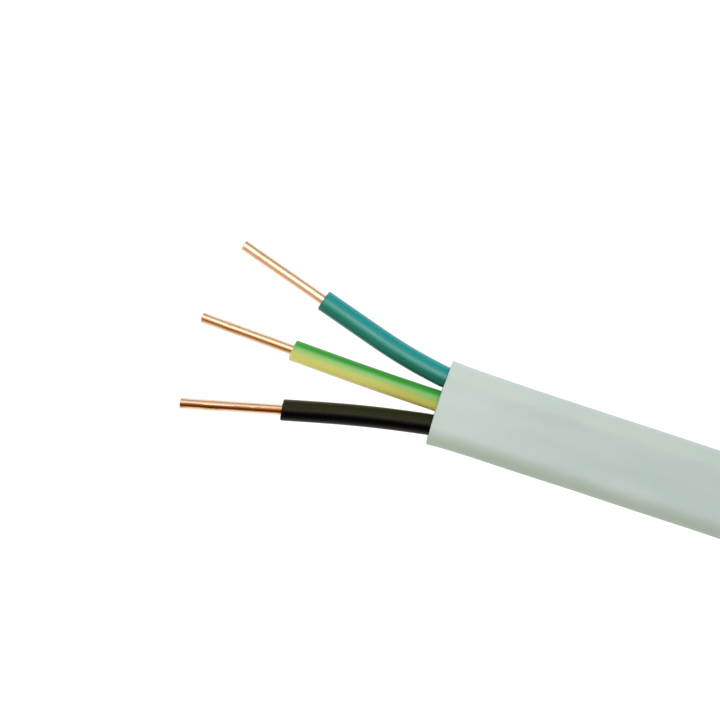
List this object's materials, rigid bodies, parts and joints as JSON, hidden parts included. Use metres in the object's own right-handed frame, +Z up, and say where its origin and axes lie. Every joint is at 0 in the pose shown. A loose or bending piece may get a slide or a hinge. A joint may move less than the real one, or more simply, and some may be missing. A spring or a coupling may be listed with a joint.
{
  "type": "coil of flat electrical cable",
  "caption": "Coil of flat sheathed electrical cable held by ties, its free end stripped back to insulated cores and bare solid copper wires ready for terminals.",
  "frame": {"origin": "bottom centre of the whole part's box, on the floor", "axes": "+X from the stripped wires towards the coil, +Y across the cable from its free end towards the coil's axis, +Z up along the coil's axis"},
  "size_m": [0.218, 0.1638, 0.0385],
  "materials": {
    "sheath": "pale grey-green PVC, faintly satin, with a fine extruded surface",
    "blue_insulation": "teal-blue PVC, satin gloss",
    "green_yellow_insulation": "green PVC with a yellow stripe along it, satin gloss",
    "black_insulation": "black PVC, satin, lightly scuffed",
    "copper": "bright drawn copper with fine lines along it",
    "tie": "natural nylon, slightly translucent"
  },
  "bodies": {
    "root": {"coil_of_turns": "sheath", "free_end_sheath": "sheath", "blue_insulation": "blue_insulation", "earth_insulation": "green_yellow_insulation", "black_insulation": "black_insulation", "blue_conductor": "copper", "earth_conductor": "copper", "black_conductor": "copper", "cable_tie_1": "tie", "cable_tie_2": "tie", "cable_tie_3": "tie"}
  },
  "joints": []
}
